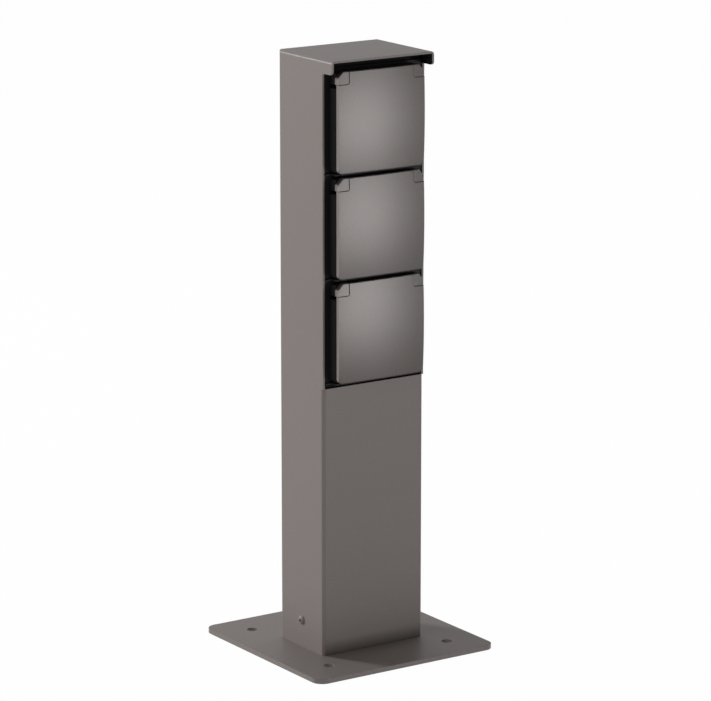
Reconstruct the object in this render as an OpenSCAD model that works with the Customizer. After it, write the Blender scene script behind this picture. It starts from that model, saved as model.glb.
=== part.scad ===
// Garden socket post: a folded sheet column on a base plate, with three sockets behind hinged flaps.
// Millimetres, +Z up, front towards -Y. The origin is the bottom centre of the base plate.

/* [Base] */
// Side of the square base plate
base_w = 180; // [150:1:260]
// Thickness of the base plate
base_t = 4; // [3:0.5:8]
// Corner radius of the base plate
base_corner_r = 10; // [3:1:25]
// Distance between anchor holes, both ways
anchor_pitch = 120; // [112:1:130]
// Diameter of an anchor hole
anchor_d = 9; // [6:0.5:12]
// Diameter of the cable hole in the base plate
cable_hole_d = 25; // [16:1:36]
// Bore of the cable grommet
grommet_bore_d = 10; // [6:0.5:13]
// Width of the grommet's collar around the cable hole
grommet_collar_w = 3; // [2:0.5:6]
// Thickness of the grommet's collar
grommet_collar_t = 2; // [1:0.5:4]
// Height of the spigot above the base plate
spigot_h = 45; // [35:1:80]
// Wall of the spigot
spigot_t = 3; // [2:0.5:5]
// Gap between spigot and column, all round
spigot_clear = 0.4; // [0.2:0.1:0.8]
// Outer corner radius of the spigot
spigot_r = 4; // [3:0.5:8]

/* [Side screws] */
// Height of the side screws above the base plate
side_screw_rise = 23.5; // [15:0.5:30]
// Thread diameter of a side screw
side_screw_d = 4; // [3:0.5:6]
// Head diameter of a side screw
side_head_d = 7.6; // [6.5:0.1:10]
// Head height of a side screw
side_head_h = 2.2; // [1.5:0.1:3]
// Height of the straight rim under the head's dome
side_head_rim = 0.5; // [0.3:0.1:0.8]
// Key size of the head's socket, across flats
side_key = 2.5; // [2:0.5:3]
// Depth of the head's socket
side_key_depth = 1.4; // [0.8:0.1:1.8]
// Thickness of a weld nut
nut_t = 3.2; // [2.5:0.1:5]
// Weld nut size across flats
nut_flats = 8; // [7:0.5:10]
// Length of thread that stands out behind a nut
screw_stickout = 2; // [1:0.5:6]

/* [Column] */
// Outer width of the column
column_w = 101; // [98:1:120]
// Outer depth of the column
column_d = 66; // [64:1:90]
// Offset of the column's centre from the plate's centre, towards the back
column_y = -4; // [-15:1:15]
// Thickness of the sheet
sheet_t = 2; // [1.5:0.1:2.5]
// Outer bend radius of the sheet
bend_r = 3; // [2.6:0.1:5]
// Height of the lower front wall above the ground
sill_z = 235; // [180:1:350]
// Reach of the hood in front of the column
hood_reach = 14; // [12:1:40]
// Height of the hood's side cheeks
hood_drop = 11.5; // [8:0.5:20]
// Corner radius at the cheeks' lower front
hood_corner_r = 3; // [1:0.5:5]
// Gap from the sill to the lowest flap
sill_gap = 5.6; // [4:0.1:12]
// Gap from the top flap to the roof
roof_gap = 7.9; // [5:0.1:15]

/* [Flaps] */
// Width of a flap
flap_w = 86; // [84:0.5:90]
// Height of a flap
flap_h = 84.5; // [83:0.5:95]
// Gap between two flaps
flap_gap = 3.5; // [3:0.1:6]
// Distance of a flap's back from the column's front
flap_stand = 9; // [8.8:0.1:11]
// Thickness of a flap at its middle
flap_mid_t = 4.5; // [4.2:0.1:5.5]
// Radius of the crowned face
crown_r = 700; // [550:10:2000]
// Wall of the flap over its back pocket
flap_wall = 2.2; // [1.5:0.1:3]
// Corner radius at a flap's bottom
flap_corner_r = 4.5; // [2:0.5:6]
// Width of a hinge ear
ear_w = 11; // [10.5:0.1:14]
// Height of a hinge ear
ear_h = 10.5; // [10:0.1:14]
// Chamfer at an ear's outer top corner
ear_chamfer = 5.5; // [1:0.1:6]
// Radius at an ear's inner lower corner
ear_r = 2; // [1:0.1:4]
// Distance of an ear's back from the column's front
ear_stand = 7; // [6.5:0.1:7.5]
// Setback of an ear's face behind the flap's face
ear_setback = 0.3; // [0.2:0.1:0.8]
// Gap between ear and flap
ear_gap = 0.5; // [0.4:0.1:0.8]
// Diameter of the peg on an ear's back
ear_peg_d = 4; // [3:0.1:5]
// Length of the peg on an ear's back
ear_peg_l = 6; // [4:0.5:8]

/* [Hinge] */
// Depth of the hinge axis below a flap's top
hinge_drop = 6.2; // [6:0.1:6.5]
// Distance of the hinge axis in front of a flap's back
hinge_inset = 1; // [0.6:0.1:1.4]
// Diameter of the hinge pin
pin_d = 2; // [1.6:0.1:2.2]
// Length of pin inside each ear
pin_seat = 8; // [5:0.5:9.5]
// Radial running clearance of the pin
pin_clear = 0.05; // [0.02:0.01:0.09]
// Outer diameter of the flap's knuckles
knuckle_d = 6; // [4.5:0.1:7]
// Wire diameter of the flap spring
spring_wire = 0.6; // [0.4:0.05:0.7]
// Full turns of the flap spring
spring_turns = 4; // [2:1:8]
// Gap between the turns
spring_turn_gap = 0.45; // [0.42:0.01:0.8]
// Radial gap between spring and pin
spring_pin_gap = 0.15; // [0.1:0.01:0.25]
// Length of the leg on the frame
spring_fixed_leg = 8.5; // [6:0.5:8.5]
// Length of the leg on the flap
spring_flap_leg = 7; // [5:0.5:7.5]
// Reach of the spring's window below the hinge axis
window_drop = 4; // [3.8:0.1:4.5]

/* [Frames] */
// Setback of the frame's flange behind the column's front
flange_setback = 1; // [0.5:0.1:2]
// Thickness of the frame's flange
flange_t = 2; // [1.5:0.1:4]
// Wall of the frame's collar
collar_wall = 2.5; // [2:0.1:4]
// Drop of the collar's top below the hinge axis
collar_drop = 7.8; // [7.6:0.1:10]
// Gap between the collar's rim and the flap
collar_gap = 1.2; // [0.8:0.1:2]
// Gap between the flap's seal and the collar's rim
seal_gap = 0.3; // [0.2:0.05:0.5]
// Inset of the seal from the collar's edges
seal_inset = 0.4; // [0.2:0.1:0.8]
// Thickness of the bottom ledge
ledge_t = 1; // [0.6:0.1:1.2]
// Gap between the ledge and the flap
ledge_gap = 0.5; // [0.3:0.1:0.8]
// Reach of the ledge's wide step in front of the column
ledge_step = 1.5; // [0.5:0.1:4]
// Height of a hinge post
post_h = 9; // [7:0.5:10]
// Width of a hinge post
post_w = 9; // [7:0.5:10]
// Clearance of seated pieces
fit = 0.3; // [0.2:0.05:0.4]
// Clearance between stacked frames
stack_clear = 0.2; // [0.1:0.05:0.4]

/* [Sockets] */
// Diameter of the plug well
well_d = 39.5; // [39:0.1:41]
// Depth of the plug well
well_depth = 17.5; // [17:0.1:18.5]
// Wall of the well
well_wall = 2.25; // [2:0.05:3]
// Floor of the well
well_floor = 3; // [2.5:0.1:4]
// Reach of the well's rim in front of the column
rim_reach = 4; // [3:0.5:7]
// Width of the insert's clamping collar
insert_collar_w = 5; // [3.5:0.5:6]
// Thickness of the insert's clamping collar
insert_collar_t = 2; // [1.5:0.1:3]
// Distance between the two contact holes
contact_pitch = 19; // [18.5:0.1:20]
// Diameter of a contact hole
contact_hole_d = 5.6; // [5.2:0.1:6.5]
// Width of a guide rib
rib_w = 5; // [3:0.1:6]
// Reach of a guide rib into the well
rib_reach = 2; // [1:0.1:3]
// Setback of a guide rib behind the rim
rib_setback = 3; // [1:0.5:6]
// Wall of the socket base around the well
base_wall = 4.5; // [3:0.5:6]
// Depth of the socket base behind the well
base_depth = 19.5; // [18:0.5:21]
// Thickness of the socket's back
back_t = 8; // [6:0.5:10]
// Outer diameter of a contact sleeve
sleeve_d = 8; // [7:0.1:9]
// Bore of a contact sleeve
sleeve_bore_d = 4.9; // [4.8:0.05:5.2]
// Thickness of a contact's terminal plate
contact_plate_t = 3; // [2:0.5:4]
// Height of a contact's terminal plate
contact_plate_h = 14; // [13:0.5:16]
// Clearance of metal pieces in the socket base
pocket_clear = 0.2; // [0.1:0.05:0.3]
// Width of the earth clip
clip_w = 6; // [5:0.5:7]
// Thickness of the earth clip
clip_t = 1; // [0.8:0.1:1.2]
// Gap between the well's wall and the earth clip's arm
clip_gap = 0.75; // [0.5:0.05:0.9]
// Reach of the earth clip's nose into the well
nose_reach = 1.4; // [0.8:0.1:1.6]
// Distance of the earth clip's nose behind its tip
nose_setback = 4.4; // [2:0.1:6]
// Height of the earth clip's rear terminal
earth_term_h = 8; // [7.5:0.5:9]
// Distance of the earth terminal's middle below the well's centre
earth_term_drop = 13; // [12:0.5:14]

/* [Small screws] */
// Thread diameter of a frame screw
frame_screw_d = 3; // [2.5:0.1:4]
// Head diameter of a frame screw
frame_head_d = 5.6; // [5:0.1:7]
// Head height of a frame screw
frame_head_h = 1.8; // [1.2:0.1:2.5]
// Distance of a frame screw from the collar's inner sides
frame_screw_inset = 5; // [4:0.5:6]
// Thread diameter of a centre screw
centre_screw_d = 3; // [2.5:0.1:4]
// Head diameter of a centre screw
centre_head_d = 6; // [5:0.1:8]
// Head height of a centre screw
centre_head_h = 1.8; // [1.2:0.1:2]
// Length of a centre screw's thread in the socket base
centre_grip = 12; // [8:1:15]
// Thread diameter of a back screw
back_screw_d = 2.5; // [2:0.1:3]
// Head diameter of a back screw
back_head_d = 5; // [4:0.1:6]
// Head height of a back screw
back_head_h = 1.5; // [1:0.1:2]
// Length of a back screw's thread in the socket base
back_grip = 7; // [5:0.5:12]
// Distance of a back screw from the socket's centre
back_screw_x = 19; // [18:0.5:21]
// Clearance hole's radial gap around a screw
screw_clear = 0.25; // [0.15:0.05:0.4]
// Radial gap of a screw in its thread
thread_clear = 0.05; // [0.02:0.01:0.1]
// Width of a driver slot
slot_w = 0.8; // [0.6:0.1:1.2]
// Depth of a driver slot
slot_depth = 0.8; // [0.4:0.1:1]

/* [Carrier] */
// Thickness of the socket carrier
carrier_t = 2; // [1.5:0.1:3]
// Reach of the carrier behind the lower front wall
carrier_tuck = 44; // [40:1:70]
// Distance of a rail's inner edge from its screws
rail_edge = 4.5; // [3:0.5:5.5]
// Depth of a rail along the column's side
rail_depth = 20; // [12:1:30]
// Thickness of a rail
rail_t = 2; // [1.5:0.1:3]
// Distance of a rail's ends from the carrier's ends
rail_inset = 8; // [4:1:15]

/* [Wiring] */
// Outer diameter of a wire
wire_d = 2.8; // [2:0.1:3.2]
// Radial gap of a wire in its hole
wire_clear = 0.2; // [0.1:0.05:0.3]
// Bend radius of a wire
wire_bend = 6; // [4:0.5:7]
// Distance of the rising wires behind the sockets
wire_run = 8; // [7:0.5:9]
// Distance between the in and out wires of a contact
wire_pair = 10; // [9:0.5:10]
// Distance between the in and out wires of an earth terminal
earth_pair = 4.4; // [4:0.1:5]
// Gap between a wire's end and its contact
wire_end_gap = 0.3; // [0.2:0.1:0.5]
// Width of the terminal block
block_w = 42; // [38:1:50]
// Depth of the terminal block
block_d = 20; // [18:0.5:24]
// Height of the terminal block
block_h = 22; // [20:0.5:28]
// Rise of the terminal block above the carrier's lower end
block_rise = 10; // [5:1:15]
// Depth of the wire holes in the terminal block
block_hole_depth = 8; // [7:0.5:10]
// Height of the socket wires above the block's bottom
block_wire_z = 15; // [13:0.5:16]
// Height of the bonding wire above the block's bottom
bond_wire_z = 7; // [5:0.5:8]
// Diameter of a terminal screw
term_screw_d = 3.6; // [3:0.1:4]
// Diameter of a supply wire hole
supply_hole_d = 3.6; // [3:0.1:4.5]
// Depth of a supply wire hole
supply_hole_depth = 10; // [6:0.5:12]
// Thread diameter of the earth stud
stud_d = 5; // [4:0.5:6]
// Length of the earth stud
stud_l = 12; // [10:0.5:16]
// Drop of the earth stud below the bonding wire
stud_drop = 27; // [24:1:40]
// Width of the earth lug
lug_w = 10; // [9:0.5:12]
// Thickness of the earth lug
lug_t = 1; // [0.8:0.1:1.5]
// Wall of the earth lug's barrel
barrel_wall = 0.8; // [0.5:0.1:1.2]
// Length of the earth lug's barrel
barrel_l = 8; // [6:0.5:10]
// Distance of the barrel's lower end above the stud
barrel_rise = 7; // [6.5:0.5:9]
// Earth nut size across flats
earth_nut_flats = 8; // [7:0.5:10]
// Thickness of the earth nut
earth_nut_t = 4; // [3:0.5:5]

/* [Hidden] */
$fn = 64;
crown_fn = 720;
eps = 0.1;
unit_names = ["top", "middle", "bottom"];
unit_parts = ["frame", "hinge_ears", "flap", "hinge_pin", "flap_spring", "flap_seal", "socket_insert",
    "earth_clip", "contacts", "socket_base", "socket_back"];
shared_parts = ["base_plate", "base_spigot", "spigot_nuts", "cable_grommet", "column", "side_screws",
    "mounting_rails", "socket_carrier", "frame_screws", "centre_screws", "back_screws", "terminal_block",
    "terminal_screws", "block_screws", "live_wires", "neutral_wires", "earth_wires", "earth_stud",
    "earth_lug", "earth_nut"];

coat = [0.42, 0.395, 0.38];
satin = [0.47, 0.45, 0.44];
black = [0.04, 0.04, 0.04];
zinc = [0.72, 0.73, 0.75];
brass = [0.78, 0.62, 0.30];
cream = [0.85, 0.83, 0.76];

last_unit = len(unit_names) - 1;
unit_pitch = flap_h + flap_gap;
front_y = column_y - column_d / 2;
back_y = column_y + column_d / 2;
inner_w = column_w - 2 * sheet_t;
inner_d = column_d - 2 * sheet_t;
lowest_z = sill_z + sill_gap;
flaps_top = lowest_z + last_unit * unit_pitch + flap_h;
roof_z = flaps_top + roof_gap;
top_z = roof_z + sheet_t;
cheek_z = top_z - hood_drop;
side_screw_z = base_t + side_screw_rise;
spigot_w = inner_w - 2 * spigot_clear;
spigot_d = inner_d - 2 * spigot_clear;
side_thread_x = spigot_w / 2 - spigot_t - nut_t - screw_stickout;

// Depths inside a socket unit, counted from the column's front towards the back
flap_back = -flap_stand;
flap_face = flap_back - flap_mid_t;
hinge_y = flap_back - hinge_inset;
flange_back = flange_setback + flange_t;
carrier_back = flange_back + carrier_t;
collar_rim = flap_back + collar_gap;
seal_back = collar_rim - seal_gap;
rim_y = -rim_reach;
floor_y = rim_y + well_depth;
floor_back = floor_y + well_floor;
base_back = floor_back + base_depth;
cover_back = base_back + back_t;
run_y = cover_back + wire_run;
wire_end_y = base_back + wire_end_gap;

// Heights inside a socket unit, counted from the flap's bottom
hinge_z = flap_h - hinge_drop;
collar_top = hinge_z - collar_drop;
well_z = collar_top / 2;
ear_x = flap_w / 2 - ear_w;
ear_z = flap_h - ear_h;
ledge_z = -ledge_gap - ledge_t;
ledge_front = flap_back + fit;

well_r = well_d / 2;
insert_r = well_r + well_wall;
seat_r = insert_r + fit;
base_r = seat_r + base_wall;
contact_x = contact_pitch / 2;
clip_r = well_r + clip_gap;
frame_screw_x = flap_w / 2 - collar_wall - frame_screw_inset;
frame_screw_zs = [collar_wall + frame_screw_inset, collar_top - collar_wall - frame_screw_inset];

flange_w = inner_w - 2 * fit;
carrier_bottom = sill_z - carrier_tuck;
carrier_top = roof_z - fit;
rail_bottom = carrier_bottom + rail_inset;
rail_top = carrier_top - rail_inset;
block_z = carrier_bottom + block_rise;
block_back = carrier_back + block_d;
block_screw_x = block_w / 2 - frame_head_d / 2;
supply_y = carrier_back + supply_hole_d;
term_screw_y = block_back - block_hole_depth / 2;
stud_z = block_z + bond_wire_z - stud_drop;
wall_y = column_d - sheet_t;
barrel_r = wire_d / 2 + thread_clear + barrel_wall;
bond_y = wall_y - lug_t - barrel_r + barrel_wall / 2;

spring_r = pin_d / 2 + spring_pin_gap + spring_wire / 2;
spring_pitch = spring_wire + spring_turn_gap;
spring_start = -135;
spring_sweep = 225 + 360 * spring_turns;
spring_len = spring_pitch * spring_sweep / 360;
spring_window = spring_len + 2 * spring_wire + 2 * fit;
curl_rings = 8;
wire_sides = 6;
spring_steps = ceil(spring_sweep / 360 * curl_rings);

// Height of a unit's flap bottom above the ground
function unit_z(k) = lowest_z + (last_unit - k) * unit_pitch;

// Points along the flap spring, with both straight legs
function spring_angle(i) = spring_start - spring_sweep * i / spring_steps;
function spring_radial(i) = [0, cos(spring_angle(i)), sin(spring_angle(i))];
function spring_along(i) = [0, sin(spring_angle(i)), -cos(spring_angle(i))];
function spring_turn_point(i) =
    [spring_len * (i / spring_steps - 0.5), hinge_y, hinge_z] + spring_r * spring_radial(i);
spring_path = concat(
    [spring_turn_point(0) - spring_fixed_leg * spring_along(0)],
    [for (i = [0:spring_steps]) spring_turn_point(i)],
    [spring_turn_point(spring_steps) + spring_flap_leg * spring_along(spring_steps)]);
spring_outward = concat(
    [spring_radial(0)],
    [for (i = [0:spring_steps]) spring_radial(i)],
    [spring_radial(spring_steps)]);
spring_least_gap = min([for (i = [1:spring_steps]) for (j = [i + curl_rings / 2:1:spring_steps + 1])
    norm(spring_path[i] - spring_path[j])]) - spring_wire;
echo(str("Least gap of a flap spring to itself: ", spring_least_gap, " mm"));

// Outline of a unit's parts extruded from one depth to another
module slab(y_front, y_back) {
    translate([0, y_back, 0])
        rotate([90, 0, 0])
            linear_extrude(height = y_back - y_front)
                children();
}

// Round bar along X between two places
module rod_x(x0, x1, y, z, r) {
    translate([x0, y, z])
        rotate([0, 90, 0])
            cylinder(r = r, h = x1 - x0);
}

// Round bar along Y between two depths
module rod_y(x, y0, y1, z, r) {
    translate([x, y1, z])
        rotate([90, 0, 0])
            cylinder(r = r, h = y1 - y0);
}

// Block between two corners
module block(low, high) {
    translate(low)
        cube(high - low);
}

// Rectangle with round corners, centred
module round_rect(w, h, r) {
    square([w - 2 * r, h], center = true);
    square([w, h - 2 * r], center = true);
    for (sx = [-1, 1])
        for (sy = [-1, 1])
            translate([sx * (w / 2 - r), sy * (h / 2 - r)])
                circle(r = r);
}

// Place of a socket unit, with its depth counted from the column's front
module in_unit(k) {
    translate([0, front_y, unit_z(k)])
        children();
}

// Hexagonal bar along X between two places
module hex_x(x0, x1, y, z, flats) {
    translate([x0, y, z])
        rotate([0, 90, 0])
            cylinder(d = flats / cos(30), h = x1 - x0, $fn = 6);
}

module base_plate() {
    color(coat)
        difference() {
            linear_extrude(height = base_t)
                round_rect(base_w, base_w, base_corner_r);
            for (sx = [-1, 1])
                for (sy = [-1, 1])
                    translate([sx * anchor_pitch / 2, sy * anchor_pitch / 2, -eps])
                        cylinder(d = anchor_d, h = base_t + 2 * eps);
            translate([0, column_y, -eps])
                cylinder(d = cable_hole_d, h = base_t + 2 * eps);
        }
}

module base_spigot() {
    color(zinc)
        difference() {
            translate([0, column_y, base_t])
                linear_extrude(height = spigot_h)
                    difference() {
                        round_rect(spigot_w, spigot_d, spigot_r);
                        round_rect(spigot_w - 2 * spigot_t, spigot_d - 2 * spigot_t,
                            max(spigot_r - spigot_t, eps));
                    }
            rod_x(-column_w, column_w, column_y, side_screw_z, side_screw_d / 2 + screw_clear);
        }
}

module spigot_nuts() {
    color(zinc)
        for (side = [0, 1])
            mirror([side, 0, 0])
                difference() {
                    hex_x(spigot_w / 2 - spigot_t - nut_t, spigot_w / 2 - spigot_t, column_y,
                        side_screw_z, nut_flats);
                    rod_x(0, column_w, column_y, side_screw_z, side_screw_d / 2 + thread_clear);
                }
}

// Domed screw head with a straight rim, standing on the ground and turned about Z
module dome_head(head_d, head_h, rim_h) {
    dome_h = head_h - rim_h;
    ball_r = (head_d * head_d / 4 + dome_h * dome_h) / (2 * dome_h);
    rotate_extrude()
        intersection() {
            translate([0, head_h - ball_r])
                circle(r = ball_r, $fn = crown_fn);
            square([head_d / 2, head_h]);
        }
}

module side_screws() {
    color(coat)
        for (side = [0, 1])
            mirror([side, 0, 0])
                difference() {
                    union() {
                        translate([column_w / 2, column_y, side_screw_z])
                            rotate([0, 90, 0])
                                dome_head(side_head_d, side_head_h, side_head_rim);
                        rod_x(side_thread_x, column_w / 2, column_y, side_screw_z, side_screw_d / 2);
                    }
                    hex_x(column_w / 2 + side_head_h - side_key_depth, column_w, column_y,
                        side_screw_z, side_key);
                }
}

module cable_grommet() {
    color(black)
        translate([0, column_y, 0])
            difference() {
                union() {
                    translate([0, 0, fit])
                        cylinder(d = cable_hole_d - 2 * thread_clear, h = base_t);
                    translate([0, 0, base_t])
                        cylinder(d = cable_hole_d + 2 * grommet_collar_w, h = grommet_collar_t);
                }
                translate([0, 0, -eps])
                    cylinder(d = grommet_bore_d, h = base_t + grommet_collar_t + 2 * eps);
            }
}

// Plan of the column's wall where the front is closed
module closed_plan(inset) {
    translate([0, column_y])
        round_rect(column_w - 2 * inset, column_d - 2 * inset, bend_r - inset);
}

// Plan of the column where the front is open, reaching forward past its front
module open_plan(inset, reach) {
    closed_plan(inset);
    translate([-column_w / 2 + inset, front_y - reach])
        square([column_w - 2 * inset, column_d / 2 + reach]);
}

// Section across the hood, with its two top bends
module hood_section(inset) {
    intersection() {
        translate([0, cheek_z])
            round_rect(column_w - 2 * inset, 2 * (hood_drop - inset), bend_r - inset);
        translate([-column_w / 2, cheek_z - (inset > 0 ? eps : 0)])
            square([column_w, hood_drop + eps]);
    }
}

// Roof, hood and the top of the walls under it
module hood() {
    difference() {
        intersection() {
            slab(front_y - hood_reach, back_y)
                hood_section(0);
            translate([0, 0, cheek_z])
                linear_extrude(height = hood_drop)
                    open_plan(0, hood_reach);
        }
        intersection() {
            slab(front_y - hood_reach - eps, back_y - sheet_t)
                hood_section(sheet_t);
            translate([0, 0, cheek_z - eps])
                linear_extrude(height = hood_drop)
                    open_plan(sheet_t, hood_reach + eps);
        }
        translate([-column_w, front_y - hood_reach, cheek_z])
            rotate([90, 0, 90])
                linear_extrude(height = 2 * column_w)
                    difference() {
                        translate([-eps, -eps])
                            square(hood_corner_r + eps);
                        translate([hood_corner_r, hood_corner_r])
                            circle(r = hood_corner_r);
                    }
    }
}

module column() {
    color(coat)
        difference() {
            union() {
                translate([0, 0, base_t])
                    linear_extrude(height = sill_z - base_t)
                        difference() {
                            closed_plan(0);
                            closed_plan(sheet_t);
                        }
                translate([0, 0, sill_z])
                    linear_extrude(height = cheek_z - sill_z)
                        difference() {
                            open_plan(0, 0);
                            open_plan(sheet_t, eps);
                        }
                hood();
            }
            rod_x(-column_w, column_w, column_y, side_screw_z, side_screw_d / 2 + screw_clear);
        }
}

module mounting_rails() {
    color(zinc)
        for (side = [0, 1])
            mirror([side, 0, 0])
                translate([0, front_y, 0])
                    difference() {
                        union() {
                            block([frame_screw_x - rail_edge, carrier_back, rail_bottom],
                                [inner_w / 2, carrier_back + rail_t, rail_top]);
                            block([inner_w / 2 - rail_t, carrier_back, rail_bottom],
                                [inner_w / 2, carrier_back + rail_depth, rail_top]);
                        }
                        for (k = [0:last_unit])
                            for (z = frame_screw_zs)
                                rod_y(frame_screw_x, 0, carrier_back + rail_depth, unit_z(k) + z,
                                    frame_screw_d / 2 + thread_clear);
                    }
}

module socket_carrier() {
    color(black)
        translate([0, front_y, 0])
            difference() {
                block([-flange_w / 2, flange_back, carrier_bottom],
                    [flange_w / 2, carrier_back, carrier_top]);
                for (k = [0:last_unit]) {
                    rod_y(0, 0, carrier_back + eps, unit_z(k) + well_z, seat_r);
                    for (sx = [-1, 1])
                        for (z = frame_screw_zs)
                            rod_y(sx * frame_screw_x, 0, carrier_back + eps, unit_z(k) + z,
                                frame_screw_d / 2 + screw_clear);
                }
                for (sx = [-1, 1])
                    rod_y(sx * block_screw_x, 0, carrier_back + eps, block_z + block_h / 2,
                        frame_screw_d / 2 + thread_clear);
            }
}

// Screw along Y with a slotted round head at its front
module slotted_screw(x, head_y, tip_y, z, head_d, head_h, thread_d) {
    difference() {
        union() {
            rod_y(x, head_y, head_y + head_h, z, head_d / 2);
            rod_y(x, head_y, tip_y, z, thread_d / 2);
        }
        block([x - head_d, head_y - eps, z - slot_w / 2],
            [x + head_d, head_y + slot_depth, z + slot_w / 2]);
    }
}

module frame_screws() {
    color(zinc)
        for (k = [0:last_unit])
            in_unit(k)
                for (sx = [-1, 1])
                    for (z = frame_screw_zs)
                        slotted_screw(sx * frame_screw_x, flange_setback - frame_head_h,
                            carrier_back + rail_t + fit, z, frame_head_d, frame_head_h, frame_screw_d);
}

module centre_screws() {
    color(zinc)
        for (k = [0:last_unit])
            in_unit(k)
                slotted_screw(0, floor_y, floor_back + centre_grip, well_z, centre_head_d, centre_head_h,
                    centre_screw_d);
}

module back_screws() {
    color(zinc)
        for (k = [0:last_unit])
            in_unit(k)
                for (sx = [-1, 1])
                    mirror([0, 1, 0])
                        slotted_screw(sx * back_screw_x, -cover_back - back_head_h,
                            -base_back + back_grip, well_z, back_head_d, back_head_h, back_screw_d);
}

module terminal_block() {
    color(cream)
        translate([0, front_y, block_z])
            difference() {
                block([-block_w / 2, carrier_back, 0], [block_w / 2, block_back, block_h]);
                for (x = [-contact_x, 0, contact_x]) {
                    rod_y(x, block_back - block_hole_depth, block_back + eps, block_wire_z,
                        wire_d / 2 + wire_clear);
                    translate([x, term_screw_y, block_wire_z])
                        cylinder(d = term_screw_d + 2 * thread_clear, h = block_h);
                    translate([x, supply_y, -eps])
                        cylinder(d = supply_hole_d, h = supply_hole_depth + eps);
                }
                rod_y(0, block_back - block_hole_depth, block_back + eps, bond_wire_z,
                    wire_d / 2 + wire_clear);
                for (sx = [-1, 1])
                    rod_y(sx * block_screw_x, 0, block_back + eps, block_h / 2,
                        frame_screw_d / 2 + screw_clear);
            }
}

module terminal_screws() {
    screw_z = block_z + block_wire_z + wire_d / 2 + wire_end_gap;
    color(zinc)
        translate([0, front_y + term_screw_y, 0])
            for (x = [-contact_x, 0, contact_x])
                difference() {
                    translate([x, 0, screw_z])
                        cylinder(d = term_screw_d, h = block_z + block_h - screw_z);
                    block([x - term_screw_d, -slot_w / 2, block_z + block_h - slot_depth],
                        [x + term_screw_d, slot_w / 2, block_z + block_h + eps]);
                }
}

module block_screws() {
    color(zinc)
        translate([0, front_y, block_z + block_h / 2])
            for (sx = [-1, 1])
                mirror([0, 1, 0])
                    slotted_screw(sx * block_screw_x, -block_back - frame_head_h, -flange_back - fit, 0,
                        frame_head_d, frame_head_h, frame_screw_d);
}

// Quarter bend of a wire in the plane across X, from one angle on
module wire_elbow(x, y, z, start) {
    translate([x, y, z])
        rotate([90, 0, 90])
            rotate([0, 0, start])
                rotate_extrude(angle = 90)
                    translate([wire_bend, 0])
                        circle(d = wire_d);
}

// Wire that leaves one hole backwards, rises and enters a higher hole forwards
module rising_wire(x, low_y, low_z, high_y, high_z) {
    rod_y(x, low_y, run_y - wire_bend, low_z, wire_d / 2);
    wire_elbow(x, run_y - wire_bend, low_z + wire_bend, -90);
    translate([x, run_y, low_z + wire_bend])
        cylinder(d = wire_d, h = high_z - low_z - 2 * wire_bend);
    wire_elbow(x, run_y - wire_bend, high_z - wire_bend, 0);
    rod_y(x, high_y, run_y - wire_bend, high_z, wire_d / 2);
}

// Chain of wires of one pole: terminal block to the lowest socket, then socket to socket
module pole_wires(x, in_z, out_z) {
    translate([0, front_y, 0]) {
        rising_wire(x, block_back - block_hole_depth + wire_end_gap, block_z + block_wire_z, wire_end_y,
            unit_z(last_unit) + in_z);
        for (k = [1:last_unit])
            rising_wire(x, wire_end_y, unit_z(k) + out_z, wire_end_y, unit_z(k - 1) + in_z);
    }
}

module live_wires() {
    color([0.35, 0.18, 0.08])
        pole_wires(-contact_x, well_z - wire_pair / 2, well_z + wire_pair / 2);
}

module neutral_wires() {
    color([0.10, 0.25, 0.65])
        pole_wires(contact_x, well_z - wire_pair / 2, well_z + wire_pair / 2);
}

module earth_wires() {
    bond_z = block_z + bond_wire_z;
    earth_z = well_z - earth_term_drop;
    color([0.45, 0.65, 0.10]) {
        pole_wires(0, earth_z - earth_pair / 2, earth_z + earth_pair / 2);
        translate([0, front_y, 0]) {
            rod_y(0, block_back - block_hole_depth + wire_end_gap, bond_y - wire_bend, bond_z,
                wire_d / 2);
            wire_elbow(0, bond_y - wire_bend, bond_z - wire_bend, 0);
            translate([0, bond_y, stud_z + barrel_rise + wire_end_gap])
                cylinder(d = wire_d, h = bond_z - wire_bend - stud_z - barrel_rise - wire_end_gap);
        }
    }
}

module earth_stud() {
    color(zinc)
        rod_y(0, front_y + wall_y - stud_l, front_y + wall_y, stud_z, stud_d / 2);
}

module earth_lug() {
    color(brass)
        translate([0, front_y, stud_z])
            difference() {
                union() {
                    rod_y(0, wall_y - lug_t, wall_y, 0, lug_w / 2);
                    block([-barrel_r, wall_y - lug_t, 0], [barrel_r, wall_y, barrel_rise + barrel_l]);
                    translate([0, bond_y, barrel_rise])
                        cylinder(r = barrel_r, h = barrel_l);
                }
                rod_y(0, 0, wall_y + eps, 0, stud_d / 2 + thread_clear);
                translate([0, bond_y, barrel_rise - eps])
                    cylinder(r = wire_d / 2 + thread_clear, h = barrel_l + 2 * eps);
            }
}

module earth_nut() {
    color(zinc)
        translate([0, front_y + wall_y - lug_t, stud_z])
            difference() {
                rotate([90, 0, 0])
                    cylinder(d = earth_nut_flats / cos(30), h = earth_nut_t, $fn = 6);
                rod_y(0, -earth_nut_t - eps, eps, 0, stud_d / 2 + thread_clear);
            }
}

// Outline of the collar behind a flap, drawn in from its edges
module collar_outline(inset) {
    half_w = flap_w / 2 - inset;
    corner = max(flap_corner_r - inset, eps);
    translate([-half_w, inset + corner])
        square([2 * half_w, collar_top - 2 * inset - corner]);
    translate([-half_w + corner, inset])
        square([2 * (half_w - corner), corner]);
    for (sx = [-1, 1])
        translate([sx * (half_w - corner), inset + corner])
            circle(r = corner);
}

// Ring that follows the collar between two insets
module collar_ring(outer_inset, inner_inset) {
    difference() {
        collar_outline(outer_inset);
        collar_outline(inner_inset);
    }
}

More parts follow.
